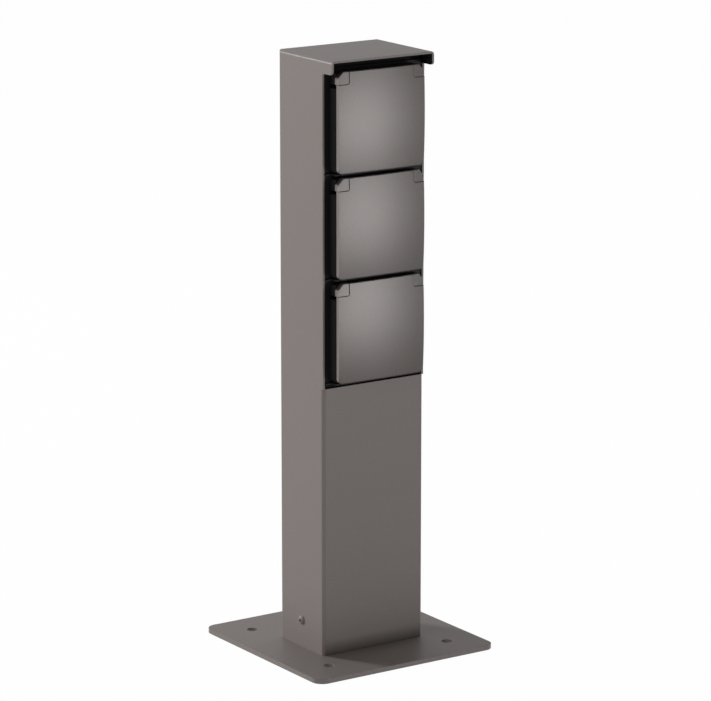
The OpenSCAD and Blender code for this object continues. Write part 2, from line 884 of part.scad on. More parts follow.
module frame(k) {
    post_x = ear_x + (ear_w - post_w) / 2;
    color(black)
        in_unit(k)
            difference() {
                union() {
                    block([-flange_w / 2, flange_setback, -(flap_gap - stack_clear) / 2],
                        [flange_w / 2, flange_back, flap_h + (flap_gap - stack_clear) / 2]);
                    slab(collar_rim, flange_setback)
                        collar_ring(0, collar_wall);
                    block([-flap_w / 2 + flap_corner_r, ledge_front, ledge_z],
                        [flap_w / 2 - flap_corner_r, flange_setback, -ledge_gap]);
                    block([-flap_w / 2, collar_rim, ledge_z], [flap_w / 2, flange_setback, -ledge_gap]);
                    block([-flange_w / 2, -ledge_step, ledge_z],
                        [flange_w / 2, flange_setback, -ledge_gap]);
                    block([-flap_w / 2 + flap_corner_r, collar_rim, -ledge_gap],
                        [flap_w / 2 - flap_corner_r, flange_setback, collar_wall / 2]);
                    for (side = [0, 1])
                        mirror([side, 0, 0])
                            block([post_x, -ear_stand, hinge_z - post_h / 2],
                                [post_x + post_w, flange_setback, hinge_z + post_h / 2]);
                }
                rod_y(0, 0, flange_back + eps, well_z, seat_r);
                for (sx = [-1, 1]) {
                    for (z = frame_screw_zs)
                        rod_y(sx * frame_screw_x, 0, flange_back + eps, z,
                            frame_screw_d / 2 + screw_clear);
                    rod_y(sx * (ear_x + ear_w / 2), -ear_stand - eps, -ear_stand + ear_peg_l + fit,
                        hinge_z, ear_peg_d / 2 + thread_clear);
                }
            }
}

// Outline of an ear on the right, grown on its two sides towards the flap
module ear_outline(grow) {
    inner_x = ear_x - grow;
    lower_z = ear_z - grow;
    corner = ear_r + grow;
    outer_x = flap_w / 2;
    translate([inner_x + corner, lower_z + corner])
        circle(r = corner);
    translate([inner_x + corner, lower_z])
        square([outer_x - inner_x - corner, corner]);
    polygon([[inner_x, lower_z + corner], [outer_x, lower_z + corner], [outer_x, flap_h - ear_chamfer],
        [outer_x - ear_chamfer, flap_h], [inner_x, flap_h]]);
}

// Cap of a ball whose front is the crown of a flap, drawn in behind the flap's face.
// Its axis is tilted, so that its pole lies above the flap.
module crown_cap(setback) {
    tilt = asin(flap_h / crown_r);
    reach = 2 * norm([flap_w, flap_h]);
    translate([0, flap_face + crown_r, flap_h / 2])
        rotate([90 - tilt, 0, 0])
            rotate_extrude($fn = crown_fn)
                intersection() {
                    circle(r = crown_r - setback, $fn = crown_fn);
                    translate([0, crown_r - reach])
                        square(reach);
                }
}

module hinge_ears(k) {
    color(satin)
        in_unit(k)
            for (side = [0, 1])
                mirror([side, 0, 0])
                    difference() {
                        union() {
                            intersection() {
                                slab(flap_face, -ear_stand)
                                    ear_outline(0);
                                crown_cap(ear_setback);
                            }
                            rod_y(ear_x + ear_w / 2, -ear_stand - eps, -ear_stand + ear_peg_l, hinge_z,
                                ear_peg_d / 2);
                        }
                        rod_x(ear_x - eps, ear_x + pin_seat + fit, hinge_y, hinge_z,
                            pin_d / 2 + pin_clear);
                    }
}

// Outline of a flap, with room for the two ears in its top corners
module flap_outline() {
    difference() {
        union() {
            translate([-flap_w / 2, flap_corner_r])
                square([flap_w, flap_h - flap_corner_r]);
            translate([-flap_w / 2 + flap_corner_r, 0])
                square([flap_w - 2 * flap_corner_r, flap_corner_r]);
            for (sx = [-1, 1])
                translate([sx * (flap_w / 2 - flap_corner_r), flap_corner_r])
                    circle(r = flap_corner_r);
        }
        for (side = [0, 1])
            mirror([side, 0, 0]) {
                ear_outline(ear_gap);
                translate([ear_x, ear_z])
                    square([ear_w + eps, ear_h + eps]);
                translate([ear_x + ear_r, ear_z - ear_gap])
                    square([ear_w - ear_r + eps, ear_gap + eps]);
            }
    }
}

module flap(k) {
    coil_r = spring_r + spring_wire / 2;
    color(satin)
        in_unit(k)
            difference() {
                union() {
                    intersection() {
                        slab(flap_face, flap_back)
                            flap_outline();
                        crown_cap(0);
                    }
                    for (side = [0, 1])
                        mirror([side, 0, 0])
                            intersection() {
                                rod_x(spring_window / 2 + fit, ear_x - 2 * ear_gap, hinge_y, hinge_z,
                                    knuckle_d / 2);
                                crown_cap(flap_wall / 2);
                            }
                }
                intersection() {
                    slab(flap_face, flap_back + eps)
                        collar_outline(collar_wall + seal_inset);
                    crown_cap(flap_wall);
                }
                rod_x(-ear_x, ear_x, hinge_y, hinge_z, pin_d / 2 + pin_clear);
                block([-spring_window / 2, hinge_y - coil_r - fit / 2, hinge_z - window_drop],
                    [spring_window / 2, hinge_y + knuckle_d, hinge_z + coil_r + fit]);
            }
}

module hinge_pin(k) {
    color(zinc)
        in_unit(k)
            rod_x(-ear_x - pin_seat, ear_x + pin_seat, hinge_y, hinge_z, pin_d / 2);
}

// Tube of few sides swept along points, each with its own outward direction
module swept_wire(path, outward, d, sides) {
    count = len(path);
    function along(i) = path[min(i + 1, count - 1)] - path[max(i - 1, 0)];
    function ring(i) =
        let (tangent = along(i) / norm(along(i)))
        let (across = cross(tangent, outward[i]))
        let (unit_across = across / norm(across))
        let (unit_out = cross(unit_across, tangent))
        [for (s = [0:sides - 1])
            path[i] + d / 2 * (cos(360 * s / sides) * unit_out + sin(360 * s / sides) * unit_across)];
    points = [for (i = [0:count - 1]) for (point = ring(i)) point];
    walls = [for (i = [0:count - 2]) for (s = [0:sides - 1]) for (half = [0, 1])
        let (a = i * sides + s)
        let (b = i * sides + (s + 1) % sides)
        half == 0 ? [a, b, a + sides] : [b, b + sides, a + sides]];
    near_end = [for (s = [1:sides - 2]) [0, s + 1, s]];
    far = (count - 1) * sides;
    far_end = [for (s = [1:sides - 2]) [far, far + s, far + s + 1]];
    polyhedron(points = points, faces = concat(walls, near_end, far_end));
}

module flap_spring(k) {
    color(zinc)
        in_unit(k)
            swept_wire(spring_path, spring_outward, spring_wire, wire_sides);
}

module flap_seal(k) {
    color(black)
        in_unit(k)
            slab(flap_back, seal_back)
                collar_ring(seal_inset, collar_wall);
}

module socket_insert(k) {
    color(black)
        in_unit(k) {
            difference() {
                union() {
                    rod_y(0, rim_y, floor_back, well_z, insert_r);
                    rod_y(0, flange_setback - insert_collar_t, flange_setback, well_z,
                        insert_r + insert_collar_w);
                }
                rod_y(0, rim_y - eps, floor_y, well_z, well_r);
                for (sx = [-1, 1])
                    rod_y(sx * contact_x, floor_y - eps, floor_back + eps, well_z, contact_hole_d / 2);
                rod_y(0, floor_y - eps, floor_y + centre_head_h, well_z,
                    centre_head_d / 2 + screw_clear);
                rod_y(0, floor_y, floor_back + eps, well_z, centre_screw_d / 2 + screw_clear);
                for (side = [0, 1])
                    translate([0, 0, well_z])
                        mirror([0, 0, side]) {
                            block([-clip_w / 2 - fit, flange_setback, well_r - well_wall],
                                [clip_w / 2 + fit, floor_y, insert_r + eps]);
                            block([-clip_w / 2 - fit, floor_y - eps, clip_r - fit],
                                [clip_w / 2 + fit, floor_back + eps, insert_r + eps]);
                        }
            }
            for (side = [0, 1])
                mirror([side, 0, 0])
                    block([well_r - rib_reach, rim_y + rib_setback, well_z - rib_w / 2],
                        [well_r + well_wall / 2, floor_y + eps, well_z + rib_w / 2]);
        }
}

module earth_clip(k) {
    nose_r = nose_reach + clip_r - well_r + clip_t;
    nose_y = flange_setback + fit + nose_r + nose_setback;
    color(zinc)
        in_unit(k)
            translate([0, 0, well_z])
                difference() {
                    union() {
                        block([-clip_w / 2, floor_back, -clip_r - clip_t],
                            [clip_w / 2, floor_back + clip_t, clip_r + clip_t]);
                        block([-clip_w / 2, floor_back, -earth_term_drop - earth_term_h / 2],
                            [clip_w / 2, base_back, -earth_term_drop + earth_term_h / 2]);
                        for (side = [0, 1])
                            mirror([0, 0, side]) {
                                block([-clip_w / 2, flange_setback + fit, clip_r],
                                    [clip_w / 2, floor_back + clip_t, clip_r + clip_t]);
                                intersection() {
                                    rod_x(-clip_w / 2, clip_w / 2, nose_y, clip_r + clip_t, nose_r);
                                    block([-clip_w / 2, rim_y, well_r - nose_reach - eps],
                                        [clip_w / 2, floor_back, clip_r + clip_t]);
                                }
                            }
                    }
                    rod_y(0, floor_back - eps, floor_back + clip_t + eps, 0,
                        centre_screw_d / 2 + screw_clear);
                }
}

module contacts(k) {
    sleeve_front = floor_back + pocket_clear;
    plate_front = base_back - contact_plate_t;
    color(brass)
        in_unit(k)
            for (sx = [-1, 1])
                translate([sx * contact_x, 0, well_z])
                    difference() {
                        union() {
                            rod_y(0, sleeve_front, plate_front + eps, 0, sleeve_d / 2);
                            block([-sleeve_d / 2, plate_front, -contact_plate_h / 2],
                                [sleeve_d / 2, base_back, contact_plate_h / 2]);
                        }
                        rod_y(0, sleeve_front - eps, plate_front, 0, sleeve_bore_d / 2);
                    }
}

module socket_base(k) {
    clip_half_w = clip_w / 2 + pocket_clear;
    clip_half_h = clip_r + clip_t + pocket_clear;
    term_half_h = earth_term_h / 2 + pocket_clear;
    plate_front = base_back - contact_plate_t - pocket_clear;
    plate_half_w = sleeve_d / 2 + pocket_clear;
    plate_half_h = contact_plate_h / 2 + pocket_clear;
    color(cream)
        in_unit(k)
            translate([0, 0, well_z])
                difference() {
                    rod_y(0, carrier_back, base_back, 0, base_r);
                    rod_y(0, carrier_back - eps, floor_back, 0, seat_r);
                    block([-clip_half_w, floor_back - eps, -clip_half_h],
                        [clip_half_w, floor_back + clip_t + pocket_clear, clip_half_h]);
                    block([-clip_half_w, floor_back, -earth_term_drop - term_half_h],
                        [clip_half_w, base_back + eps, -earth_term_drop + term_half_h]);
                    for (sx = [-1, 1])
                        translate([sx * contact_x, 0, 0]) {
                            rod_y(0, floor_back - eps, base_back, 0, plate_half_w);
                            block([-plate_half_w, plate_front, -plate_half_h],
                                [plate_half_w, base_back + eps, plate_half_h]);
                        }
                    rod_y(0, floor_back, floor_back + centre_grip + fit, 0,
                        centre_screw_d / 2 + thread_clear);
                    for (sx = [-1, 1])
                        rod_y(sx * back_screw_x, base_back - back_grip - fit, base_back + eps, 0,
                            back_screw_d / 2 + thread_clear);
                }
}

module socket_back(k) {
    earth_z = -earth_term_drop;
    color(cream)
        in_unit(k)
            translate([0, 0, well_z])
                difference() {
                    rod_y(0, base_back, cover_back, 0, base_r);
                    for (sx = [-1, 1]) {
                        for (dz = [-wire_pair / 2, wire_pair / 2])
                            rod_y(sx * contact_x, base_back - eps, cover_back + eps, dz,
                                wire_d / 2 + wire_clear);
                        rod_y(sx * back_screw_x, base_back - eps, cover_back + eps, 0,
                            back_screw_d / 2 + screw_clear);
                    }
                    for (dz = [-earth_pair / 2, earth_pair / 2])
                        rod_y(0, base_back - eps, cover_back + eps, earth_z + dz,
                            wire_d / 2 + wire_clear);
                }
}

base_plate();
base_spigot();
spigot_nuts();
cable_grommet();
column();
side_screws();
mounting_rails();
socket_carrier();
frame_screws();
centre_screws();
back_screws();
terminal_block();
terminal_screws();
block_screws();
live_wires();
neutral_wires();
earth_wires();
earth_stud();
earth_lug();
earth_nut();
for (k = [0:last_unit]) {
    frame(k);
    hinge_ears(k);
    flap(k);
    hinge_pin(k);
    flap_spring(k);
    flap_seal(k);
    socket_insert(k);
    earth_clip(k);
    contacts(k);
    socket_base(k);
    socket_back(k);
}
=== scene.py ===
from math import radians

import bpy
import numpy as np
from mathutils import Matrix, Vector


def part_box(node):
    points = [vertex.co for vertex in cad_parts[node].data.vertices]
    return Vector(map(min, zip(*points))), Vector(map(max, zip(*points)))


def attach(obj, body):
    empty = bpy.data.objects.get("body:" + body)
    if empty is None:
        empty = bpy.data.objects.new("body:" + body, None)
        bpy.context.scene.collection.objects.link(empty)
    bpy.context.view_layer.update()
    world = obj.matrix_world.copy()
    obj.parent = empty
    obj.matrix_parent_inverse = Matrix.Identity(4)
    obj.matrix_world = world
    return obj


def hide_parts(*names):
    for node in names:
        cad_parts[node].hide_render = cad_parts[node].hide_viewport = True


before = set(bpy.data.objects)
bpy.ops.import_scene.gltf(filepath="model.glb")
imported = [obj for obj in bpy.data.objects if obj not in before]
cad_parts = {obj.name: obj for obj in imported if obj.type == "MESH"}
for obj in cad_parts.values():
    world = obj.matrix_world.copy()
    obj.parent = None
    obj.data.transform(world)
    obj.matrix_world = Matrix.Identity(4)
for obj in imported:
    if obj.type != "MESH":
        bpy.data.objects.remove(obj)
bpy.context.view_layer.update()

scene = bpy.context.scene
scene.view_settings.view_transform = "Standard"

# Camera. A long lens a little above the post and to its left, so that the column's left
# side, its front and its roof all show, with the post in the middle of the picture.
camera = bpy.data.objects.new("camera", bpy.data.cameras.new("camera"))
camera.location = (-1.72016, -2.57314, 0.987)
camera.rotation_euler = (radians(76.687), 0, radians(-33.8676))
camera.data.sensor_width = 36
camera.data.lens = 191.369
scene.collection.objects.link(camera)
scene.camera = camera


# Studio. A plain white floor that fades into a white world, and five soft boxes: one on each
# side, two behind, and a far low one in front that shines from below the horizon, as through
# a glass table, so the floor is hidden from shadow and glossy rays and doesn't block it.
class Tone:
    """A socket of a node tree. Sums, products and comparisons of it add Math nodes."""

    def __init__(self, tree, socket=None):
        self.tree = tree
        self.socket = socket

    def node(self, kind, settings, sockets, out=0):
        """Adds a node of any kind: first its settings, then the values or links of its sockets."""
        made = self.tree.nodes.new(kind)
        for name, value in settings.items():
            setattr(made, name, value)
        for name, value in sockets.items():
            if isinstance(value, Tone):
                self.tree.links.new(value.socket, made.inputs[name])
            else:
                made.inputs[name].default_value = value
        return Tone(self.tree, made.outputs[out])

    def math(self, operation, first, second):
        """Math node on two values, each a number or a socket."""
        return self.node("ShaderNodeMath", {"operation": operation}, {0: first, 1: second})

    def __add__(self, other):
        return self.math("ADD", self, other)

    def __mul__(self, other):
        return self.math("MULTIPLY", self, other)

    __radd__ = __add__
    __rmul__ = __mul__

    def __lt__(self, other):
        return self.math("LESS_THAN", self, other)

    def __gt__(self, other):
        return self.math("GREATER_THAN", self, other)

    def __abs__(self):
        return self.math("ABSOLUTE", self, 0.0)

    def noise(self, size, detail, seed=0.0):
        """Cloudy pattern from 0 to 1 on this vector, with lumps of a size in metres."""
        return self.node(
            "ShaderNodeTexNoise",
            {"noise_dimensions": "4D"},
            {"Vector": self, "W": seed, "Scale": 1 / size, "Detail": detail},
        )

    def between(self, low, high):
        """Mix of two colours, given or worked out, by this value."""
        colours = [end if isinstance(end, Tone) else (*end, 1) for end in (low, high)]
        return self.node(
            "ShaderNodeMix", {"data_type": "RGBA"}, {0: self, 6: colours[0], 7: colours[1]}, 2
        )

    def bump(self, depth, strength):
        """Normal of a surface that this value raises by up to a depth in metres."""
        return self.node(
            "ShaderNodeBump", {}, {"Height": self, "Distance": depth, "Strength": strength}
        )


def shows_white(tone):
    """1 for a ray that shows the background: from the camera, off a gloss or through glass."""
    return (
        tone.node("ShaderNodeLightPath", {}, {}, "Is Camera Ray")
        + tone.node("ShaderNodeLightPath", {}, {}, "Is Glossy Ray")
        + tone.node("ShaderNodeLightPath", {}, {}, "Is Transmission Ray")
    )


floor_half = 20
floor_mesh = bpy.data.meshes.new("floor")
floor_mesh.from_pydata(
    [(x * floor_half, y * floor_half, 0) for x, y in ((-1, -1), (1, -1), (1, 1), (-1, 1))],
    [],
    [(0, 1, 2, 3)],
)
floor = bpy.data.objects.new("floor", floor_mesh)
scene.collection.objects.link(floor)
floor.visible_shadow = False
floor.visible_glossy = False
floor_finish = bpy.data.materials.new("white_floor")
floor_finish.use_nodes = True
floor_tree = floor_finish.node_tree
floor_tree.nodes.remove(floor_tree.nodes["Principled BSDF"])
ground = Tone(floor_tree)
floor_white = 0.985
floor_bounce = 0.55
floor_glow = floor_bounce + shows_white(ground) * (1 - floor_bounce)
matt = ground.node("ShaderNodeBsdfDiffuse", {}, {"Color": (0.9, 0.9, 0.9, 1)})
glow = ground.node("ShaderNodeEmission", {}, {"Color": (1, 1, 1, 1), "Strength": floor_glow})
both = ground.node("ShaderNodeMixShader", {}, {0: floor_white, 1: matt, 2: glow})
floor_tree.links.new(both.socket, floor_tree.nodes["Material Output"].inputs["Surface"])
floor_mesh.materials.append(floor_finish)

world = bpy.data.worlds.new("white_studio")
scene.world = world
world.use_nodes = True
sky = Tone(world.node_tree)
sky_level = 0.075
sky_glow = sky_level + shows_white(sky) * (1 - sky_level)
background = world.node_tree.nodes["Background"]
background.inputs["Color"].default_value = (1, 1, 1, 1)
world.node_tree.links.new(sky_glow.socket, background.inputs["Strength"])


def soft_box(name, place, aim, size, power):
    """Lamp of a width and a height at a place, turned towards an aim."""
    lamp = bpy.data.lights.new(name, "AREA")
    lamp.shape = "RECTANGLE"
    lamp.size, lamp.size_y = size
    lamp.energy = power
    made = bpy.data.objects.new(name, lamp)
    made.location = place
    made.rotation_euler = (Vector(aim) - Vector(place)).to_track_quat("-Z", "Y").to_euler()
    scene.collection.objects.link(made)


soft_box("left_box", (-2.6, 0.1, 0.9), (0, 0, 0.25), (1.6, 1.4), 22.0)
soft_box("rim_box", (-1.4, 2.5, 1.2), (0, 0, 0.4), (0.55, 0.55), 68.0)
soft_box("back_box", (0.5, 2.4, 2.2), (0, 0, 0.25), (1.2, 1.2), 7.0)
soft_box("right_box", (2.6, 0.6, 0.45), (0, 0, 0.25), (1.2, 1.2), 26.0)
soft_box("front_box", (2.98, -5.17, -0.57), (0, -0.05, 0.37), (1.05, 1.25), 86.0)


# Base plate and column. Steel sheet of 2 mm, folded, welded and powder coated on a plate
# of 4 mm in one warm grey with a fine dry texture; the cut edges are slightly rounded.
mm = 0.001


def new_finish(name):
    """A material, its shader and the Object coordinates that its patterns read."""
    material = bpy.data.materials.new(name)
    material.use_nodes = True
    shader = material.node_tree.nodes["Principled BSDF"]
    place = Tone(material.node_tree).node("ShaderNodeTexCoord", {}, {}, "Object")
    return material, shader, place


def set_shader(shader, **values):
    """Links or sets the shader's sockets, named with underscores for blanks."""
    for name, value in values.items():
        socket = shader.inputs[name.replace("_", " ")]
        if isinstance(value, Tone):
            value.tree.links.new(value.socket, socket)
        else:
            socket.default_value = value


def paint(material, *nodes):
    """Gives CAD nodes a finish."""
    for node in nodes:
        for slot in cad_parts[node].material_slots:
            slot.material = material


def soften(width, *nodes):
    """Joins the loose triangles of CAD nodes and rounds their sharp edges by a width."""
    for node in nodes:
        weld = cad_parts[node].modifiers.new("weld", "WELD")
        weld.merge_threshold = 1e-6
        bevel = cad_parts[node].modifiers.new("round", "BEVEL")
        bevel.width = width
        bevel.segments = 2
        bevel.limit_method = "ANGLE"
        bevel.angle_limit = radians(35)
        bevel.harden_normals = True
        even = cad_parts[node].modifiers.new("even", "WEIGHTED_NORMAL")
        even.mode = "FACE_AREA"
        even.weight = 50
        even.keep_sharp = False


coat, coat_shader, coat_place = new_finish("powder_coat")
coat_grain = coat_place.noise(0.9 * mm, 3.0)
coat_cloud = coat_place.noise(2.2 * mm, 2.0, 4.0)
coat_dark, coat_pale = (0.174, 0.152, 0.144), (0.234, 0.205, 0.194)
coat_grey = (coat_grain * 0.6 + coat_cloud * 0.4).between(coat_dark, coat_pale)
coat_x, coat_y, coat_z = [
    coat_place.node("ShaderNodeSeparateXYZ", {}, {"Vector": coat_place}, axis)
    for axis in ("X", "Y", "Z")
]
wall_inside, back_inside = 48.7 * mm, 28 * mm
sill_inside, roof_inside = 236 * mm, 509.2 * mm
behind_front = (coat_z > sill_inside) * (coat_z < roof_inside) * (coat_y < back_inside)
# The column's inner faces above the sill are painted near black: painted shade for its dark hollow
# under the hood.
inside = (abs(coat_x) < wall_inside) * behind_front
inside_painted_shade = (0.010, 0.010, 0.010)
set_shader(
    coat_shader,
    Base_Color=inside.between(coat_grey, inside_painted_shade),
    Roughness=0.50 + coat_grain * 0.14,
    Specular_IOR_Level=0.13,
    Specular_Tint=(1.0, 0.93, 0.90, 1),
    Coat_Weight=0.15,
    Coat_Roughness=0.3,
    Normal=coat_grain.bump(0.08 * mm, 0.5),
)
paint(coat, "base_plate", "column")
soften(0.5 * mm, "base_plate")
soften(0.35 * mm, "column")

# Spigot, rails and small screws. Zinc-plated steel: blue-grey and half bright, with the
# cloudy crystals of the plating. The column's foot slips over the spigot on the plate, and
# the rails lie inside its walls.
zinc, zinc_shader, zinc_place = new_finish("zinc_plate")
zinc_cloud = zinc_place.noise(3 * mm, 3.0)
zinc_grain = zinc_place.noise(0.3 * mm, 2.0, 2.0)
set_shader(
    zinc_shader,
    Base_Color=zinc_cloud.between((0.50, 0.51, 0.53), (0.66, 0.67, 0.68)),
    Metallic=1.0,
    Roughness=0.26 + zinc_cloud * 0.16,
    Normal=zinc_grain.bump(0.01 * mm, 0.4),
)
paint(
    zinc, "base_spigot", "spigot_nuts", "mounting_rails", "frame_screws", "centre_screws",
    "back_screws", "terminal_screws", "block_screws", "earth_stud", "earth_nut",
)

# Side screws. Button heads low on both sides, painted in the column's colour. They go
# through its walls into the weld nuts and hold it on its spigot.
screw_paint, screw_shader, screw_place = new_finish("screw_paint")
screw_grain = screw_place.noise(0.4 * mm, 2.0)
set_shader(
    screw_shader,
    Base_Color=screw_grain.between((0.185, 0.164, 0.156), (0.225, 0.200, 0.190)),
    Roughness=0.52 + screw_grain * 0.12,
    Specular_IOR_Level=0.25,
    Normal=screw_grain.bump(0.01 * mm, 0.4),
)
paint(screw_paint, "side_screws")

# Cable grommet and lid seals. Soft black rubber with a dry bloom. The grommet lines the
# plate's cable hole, and each seal sits on a lid's back, in front of the frame's collar.
units = ("top", "middle", "bottom")
rubber, rubber_shader, rubber_place = new_finish("black_rubber")
rubber_bloom = rubber_place.noise(1.6 * mm, 3.0)
rubber_grain = rubber_place.noise(0.25 * mm, 1.0, 3.0)
set_shader(
    rubber_shader,
    Base_Color=rubber_bloom.between((0.012, 0.012, 0.012), (0.022, 0.021, 0.021)),
    Roughness=0.66 + rubber_bloom * 0.16,
    Specular_IOR_Level=0.3,
    Normal=rubber_grain.bump(0.02 * mm, 0.5),
)
paint(rubber, "cable_grommet", *[f"flap_seal_{unit}" for unit in units])

# Socket carrier. Steel panel behind the frames, coated in matt black. It closes the
# column's open front, carries the sockets and is screwed to the rails with the frames.
panel, panel_shader, panel_place = new_finish("black_panel")
panel_grain = panel_place.noise(0.5 * mm, 2.0)
set_shader(
    panel_shader,
    Base_Color=panel_grain.between((0.004, 0.004, 0.004), (0.008, 0.0075, 0.007)),
    Roughness=0.62 + panel_grain * 0.16,
    Specular_IOR_Level=0.1,
    Normal=panel_grain.bump(0.03 * mm, 0.5),
)
paint(panel, "socket_carrier")

# Frames and plug wells. Black plastic with a fine spark-eroded grain from the mould. Four
# screws clamp each frame on the carrier, and one in its middle holds the well.
moulded, moulded_shader, moulded_place = new_finish("black_moulding")
moulded_grain = moulded_place.noise(0.35 * mm, 2.0)
set_shader(
    moulded_shader,
    Base_Color=moulded_grain.between((0.006, 0.006, 0.006), (0.012, 0.0115, 0.011)),
    Roughness=0.44 + moulded_grain * 0.14,
    Specular_IOR_Level=0.12,
    Normal=moulded_grain.bump(0.02 * mm, 0.5),
)
for unit in units:
    paint(moulded, f"frame_{unit}", f"socket_insert_{unit}")
    soften(0.25 * mm, f"frame_{unit}")

# Socket bases, backs and terminal block. Cream heat-proof plastic, slightly mottled, that
# holds the contacts and the wire ends behind the carrier.
cream, cream_shader, cream_place = new_finish("cream_insulator")
cream_cloud = cream_place.noise(4 * mm, 3.0)
set_shader(
    cream_shader,
    Base_Color=cream_cloud.between((0.62, 0.59, 0.49), (0.72, 0.69, 0.60)),
    Roughness=0.42 + cream_cloud * 0.12,
    Normal=cream_place.noise(0.4 * mm, 2.0, 1.0).bump(0.02 * mm, 0.4),
)
paint(cream, "terminal_block")
for unit in units:
    paint(cream, f"socket_base_{unit}", f"socket_back_{unit}")

# Contacts and earth lug. Plain brass, a little dulled; the contacts sit in the socket bases.
# The earth clips, hinge pins and lid springs are steel, plated as the screws are.
brass, brass_shader, brass_place = new_finish("brass")
brass_dull = brass_place.noise(2 * mm, 3.0)
set_shader(
    brass_shader,
    Base_Color=brass_dull.between((0.50, 0.34, 0.11), (0.66, 0.47, 0.18)),
    Metallic=1.0,
    Roughness=0.24 + brass_dull * 0.16,
    Normal=brass_place.noise(0.3 * mm, 2.0, 1.0).bump(0.008 * mm, 0.4),
)
paint(brass, "earth_lug", *[f"contacts_{unit}" for unit in units])
for unit in units:
    paint(zinc, f"earth_clip_{unit}", f"hinge_pin_{unit}", f"flap_spring_{unit}")


# Wires. Soft sheaths in brown, blue and green; the earth wire has yellow stripes. They run
# from the terminal block to the three sockets inside the column.
def sheath(name, low, high, striped=False):
    """Soft plastic of a wire, clouded or striped between two shades."""
    material, shader, place = new_finish(name)
    shade = place.noise(5 * mm, 2.0)
    if striped:
        shade = place.node(
            "ShaderNodeTexWave",
            {"bands_direction": "DIAGONAL"},
            {"Vector": place, "Scale": 0.1 / mm},
        )
    set_shader(
        shader,
        Base_Color=shade.between(low, high),
        Roughness=0.38 + shade * 0.10,
        Normal=place.noise(0.6 * mm, 2.0, 1.0).bump(0.02 * mm, 0.3),
    )
    return material


paint(sheath("brown_sheath", (0.10, 0.040, 0.014), (0.13, 0.052, 0.019)), "live_wires")
paint(sheath("blue_sheath", (0.010, 0.050, 0.34), (0.014, 0.065, 0.42)), "neutral_wires")
paint(sheath("green_sheath", (0.05, 0.30, 0.020), (0.66, 0.52, 0.016), striped=True), "earth_wires")


# Lids. Satin lacquered plastic in the column's grey: each lid is a square crowned shell
# with rolled edges, a pocket behind and two knuckles on the hinge pin; two fixed ears
# fill its top corners and carry the pin.
def ring_shell(rings, front, back):
    """Closed shell: rows of a periodic grid, closed by a point before and a point behind."""
    count = rings.shape[1]
    points = np.concatenate([[front], rings.reshape(-1, 3), [back]])
    column = np.arange(count)
    following = (column + 1) % count
    row = 1 + count * np.arange(rings.shape[0] - 1)[:, None]
    below = row + count
    quads = np.stack([row + column, row + following, below + following, below + column], -1)
    last = len(points) - 1
    first_fan = np.stack([0 * column, 1 + following, 1 + column], -1)
    last_fan = np.stack([last + 0 * column, last - count + column, last - count + following], -1)
    return points, quads.reshape(-1, 4).tolist() + first_fan.tolist() + last_fan.tolist()


def shell_piece(name, shells, material):
    """Object made of several closed shells, in millimetres from the origin."""
    points, faces, start = [], [], 0
    for shell_points, shell_faces in shells:
        points.append(shell_points)
        faces += [[start + corner for corner in face] for face in shell_faces]
        start += len(shell_points)
    mesh = bpy.data.meshes.new(name)
    mesh.from_pydata((np.concatenate(points) * mm).tolist(), [], faces)
    mesh.polygons.foreach_set("use_smooth", np.ones(len(faces), bool))
    mesh.materials.append(material)
    piece = bpy.data.objects.new(name, mesh)
    scene.collection.objects.link(piece)
    return piece


def run(start, end, step):
    """Points about a step apart along a straight line, without its last one."""
    start, end = np.array(start, float), np.array(end, float)
    count = max(1, int(np.hypot(*(end - start)) / step))
    share = np.arange(count) / count
    return start + share[:, None] * (end - start)


def bend(centre, radius, from_angle, to_angle, count=12):
    """Points along an arc, without its last one."""
    angle = np.radians(from_angle + (to_angle - from_angle) * np.arange(count) / count)
    return np.array(centre) + radius * np.stack([np.cos(angle), np.sin(angle)], -1)


lid_w, lid_h = 86.0, 84.5
lid_mid = lid_h / 2
lid_corner = 4.5
lid_back = 4.5
crown_r = 700.0
roll_w, roll_h = 0.6, 0.4
gap_roll = 0.25
ear_w, ear_h = 11.0, 10.5
ear_chamfer, ear_r = 5.5, 2.0
ear_gap, ear_setback = 0.16, 0.3
ear_back = 6.5
lid_wall = 2.2
pocket_half_w, pocket_low, pocket_high = 40.1, 2.9, 67.6
ear_x, ear_z = lid_w / 2 - ear_w, lid_h - ear_h


def crown(x, z):
    """Depth of the ball-shaped face behind its highest point: the sagitta at a radius."""
    return crown_r - np.sqrt(crown_r**2 - x**2 - (z - lid_mid) ** 2)


def roll(distance, width, height):
    """Drop of a rolled edge: a quarter ellipse over a width from the edge."""
    near = np.clip(1 - distance / width, 0, 1)
    return height * (1 - np.sqrt(1 - near**2))


def from_outside(x, z):
    """Distance inside the lid's outer outline, with its round bottom and cut top corners."""
    side = lid_w / 2 - np.abs(x)
    ends = np.minimum(z, lid_h - z)
    corner_x, corner_z = lid_corner - side, lid_corner - z
    low = lid_corner - np.hypot(np.maximum(corner_x, 0), np.maximum(corner_z, 0))
    cut = (side + (lid_h - z) - ear_chamfer) / np.sqrt(2)
    flat = np.minimum(side, ends)
    return np.minimum(np.where((corner_x > 0) & (corner_z > 0), low, flat), cut)


def from_notch(x, z):
    """Distance outside the notch of an ear, a quarter plane with one round corner."""
    radius = ear_r + ear_gap
    dx = ear_x - ear_gap + radius - np.abs(x)
    dz = ear_z - ear_gap + radius - z
    beyond = np.hypot(np.maximum(dx, 0), np.maximum(dz, 0))
    return beyond + np.minimum(np.maximum(dx, dz), 0) - radius


def spread(outline, centre, share):
    """Rings of an outline drawn in towards a centre by shares of its radius."""
    return centre + share[:, None, None] * (outline - centre)


def with_depth(flat, depth):
    """Points with their depth between across and up."""
    return np.stack([flat[..., 0], depth + 0 * flat[..., 0], flat[..., 1]], -1)


